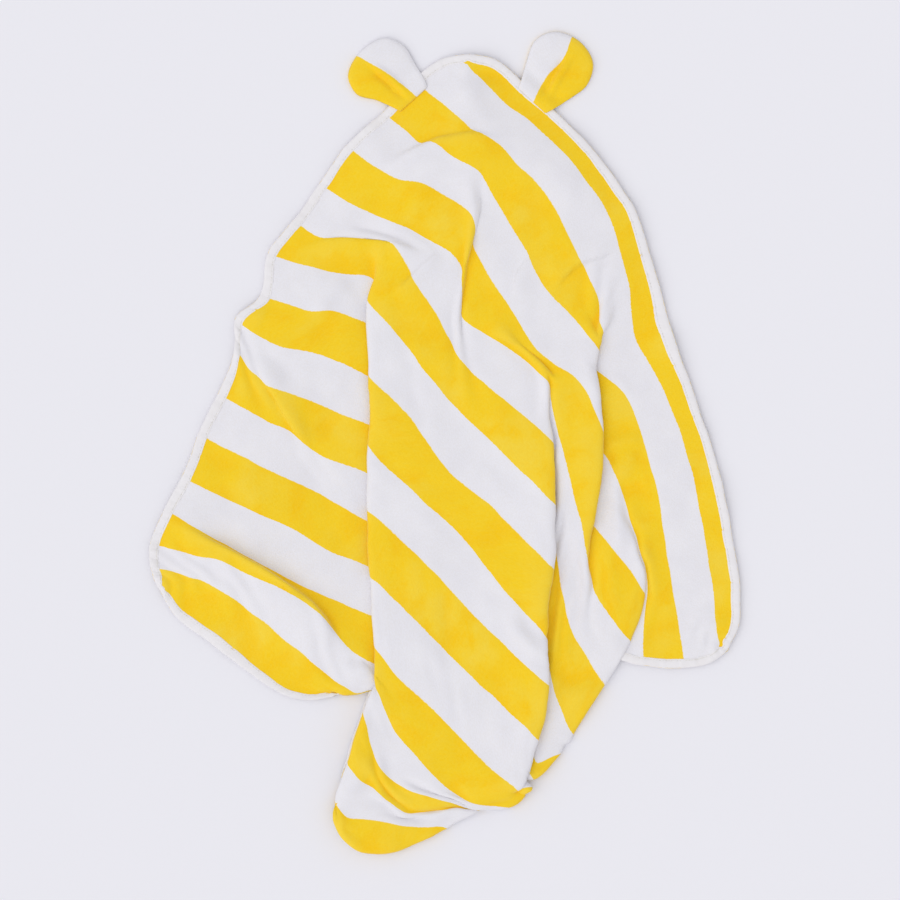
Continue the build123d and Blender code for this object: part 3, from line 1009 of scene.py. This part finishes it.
def beside(points, line):
    """Signed distance of each point from a line, more than 0 to the left of it."""
    nearest = np.full(points.shape[:-1], np.inf)
    signed = np.zeros(points.shape[:-1])
    line = line_through(line, np.linspace(0.0, 1.0, 25))
    for start, end in zip(line[:-1], line[1:]):
        ahead = unit(end - start)
        away = points - start
        run = np.clip(away @ ahead, 0.0, np.linalg.norm(end - start))
        distance = np.linalg.norm(away - run[..., None] * ahead, axis=-1)
        turn = np.sign(ahead[0] * away[..., 1] - ahead[1] * away[..., 0])
        signed = np.where(distance < nearest, turn * distance, signed)
        nearest = np.minimum(nearest, distance)
    return signed


def ear_grid(shape, columns=45, rows=37, grow=0.0):
    """Points over an ear, from its seam out, as a patch between the seam and its outline."""
    first, last = np.array(shape["seam"], float)
    near, far = shape["stations"]
    edge = [first, *shape["outline"], last]
    a = np.linspace(0.0, 1.0, columns)[None, :, None]
    b = np.linspace(0.0, 1.0, rows)[:, None, None]
    bottom = first * (1 - a[0]) + last * a[0]
    top = line_through(edge, near + (far - near) * a[0, :, 0])
    left = line_through(edge, near * b[:, 0, 0])
    right = line_through(edge, 1 - (1 - far) * b[:, 0, 0])
    patch = (
        bottom[None] * (1 - b) + top[None] * b + left[:, None] * (1 - a) + right[:, None] * a
        - (first * (1 - a) + last * a) * (1 - b) - (top[0] * (1 - a) + top[-1] * a) * b
    )
    middle = patch.mean(axis=(0, 1))
    return patch + unit(patch - middle) * grow * blend_in(b, 0.2, 0.5)


def ear_cloth(name, shape, front):
    """One of an ear's two cloths: front is the one on top."""
    first, last = np.array(shape["seam"], float)
    along_seam = unit(last - first)
    outward = np.array([-along_seam[1], along_seam[0]])
    patch = ear_grid(shape, grow=0.0 if front else 0.5)
    steps = np.linspace(-EAR_FLANGE, 0.0, 7)[:-1]
    taper = 1 + steps[:, None] * EAR_TAPER
    middle = (first + last) / 2
    flange = middle + (patch[0] - middle)[None] * taper[..., None] + steps[:, None, None] * outward
    plan = np.concatenate([flange, patch])
    out = (plan - first) @ outward

    columns = plan.shape[1]
    a = np.linspace(0.0, 1.0, columns)[None]
    b = np.concatenate([np.zeros(len(steps)), np.linspace(0.0, 1.0, len(patch))])[:, None]
    from_edge = np.minimum(np.minimum(a, 1 - a) * 52.0, (1 - b) * 55.0)
    rounded = np.sqrt(1 - (1 - np.clip(from_edge / 16.0, 0.0, 1.0)) ** 2)
    full = blend_in(out, 4.0, 26.0)
    low = FLOOR_GAP + EAR_CLOTH / 2
    seam_top = 2 * BINDING_HALF + FLOOR_GAP + EAR_CLOTH / 2 + 0.1
    height = low + (seam_top - low) * (1 - blend_in(out, -1.0, EAR_BEND))
    height = height - 1.5 * blend_in(-out, 5.0, EAR_FLANGE)
    layer = 0.6 + (EAR_CLOTH - 0.55) * np.clip(from_edge / 3.0, 0.0, 1.0)
    if front:
        height = height + layer + EAR_PUFF * rounded * full
        lying_flat = np.pad(plan * MM, ((0, 0), (0, 0), (0, 1))).reshape(-1, 3)
        pinch = crease(lying_flat, 1.0, "step", EAR_PINCH, 3.0, shape["fold"])
        height = height + pinch[:, 2].reshape(height.shape) / MM
        height = np.maximum(height, low + 0.9 * EAR_CLOTH)
    points = np.concatenate([plan, height[..., None]], axis=-1) * MM
    piece = new_piece(name, points.reshape(-1, 3), grid_faces(*plan.shape[:2]), striped_terry)
    yellow = beside(plan, shape["stripe"]) * shape["yellow_side"]
    if shape["back_turned"] and not front:
        yellow = -yellow
    flat = np.stack([FIRST_STRIPE + STRIPE + yellow, out + SIDE / 2], axis=-1)
    put_flat(piece, flat.reshape(-1, 2))
    thicken(piece, EAR_CLOTH)
    return piece, plan


for body, shape in EARS.items():
    for layer_name in ("back", "front"):
        piece, plan = ear_cloth(f"{body}_{layer_name}_cloth", shape, layer_name == "front")
        finish_piece(piece, None, "striped_terry", f"{body}_{layer_name}")
        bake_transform(piece)

# ---- the floor, the lights and the camera ----
FLOOR_SIDE = 8.0
CAMERA_HEIGHT = 3.0
CAMERA_VIEW = 0.90       # side of the square of floor that the camera sees
WORLD_LIGHT = 0.74
KEY_LIGHT = 1.00
KEY_SIZE = math.radians(75)
KEY_FROM = Vector((-0.62, -0.36, 1.0))

half = FLOOR_SIDE / 2
floor = new_piece(
    "floor",
    [(-half, -half, 0), (half, -half, 0), (half, half, 0), (-half, half, 0)],
    [(0, 1, 2, 3)],
    floor_paper("floor_paper"),
)

scene = bpy.context.scene
scene.view_settings.view_transform = "Standard"
world = bpy.data.worlds.new("studio")
world.use_nodes = True
world.node_tree.nodes["Background"].inputs["Color"].default_value = (0.97, 0.98, 1.0, 1.0)
world.node_tree.nodes["Background"].inputs["Strength"].default_value = WORLD_LIGHT
scene.world = world

key_light = bpy.data.lights.new("key", "SUN")
key_light.angle = KEY_SIZE
key_light.energy = KEY_LIGHT
key = bpy.data.objects.new("key", key_light)
key.rotation_euler = KEY_FROM.to_track_quat("Z", "Y").to_euler()
scene.collection.objects.link(key)

camera_data = bpy.data.cameras.new("camera")
camera_data.sensor_width = 36.0
camera_data.lens = 36.0 * CAMERA_HEIGHT / CAMERA_VIEW
camera = bpy.data.objects.new("camera", camera_data)
camera.location = (0.005, -0.005, CAMERA_HEIGHT)
scene.collection.objects.link(camera)
scene.camera = camera
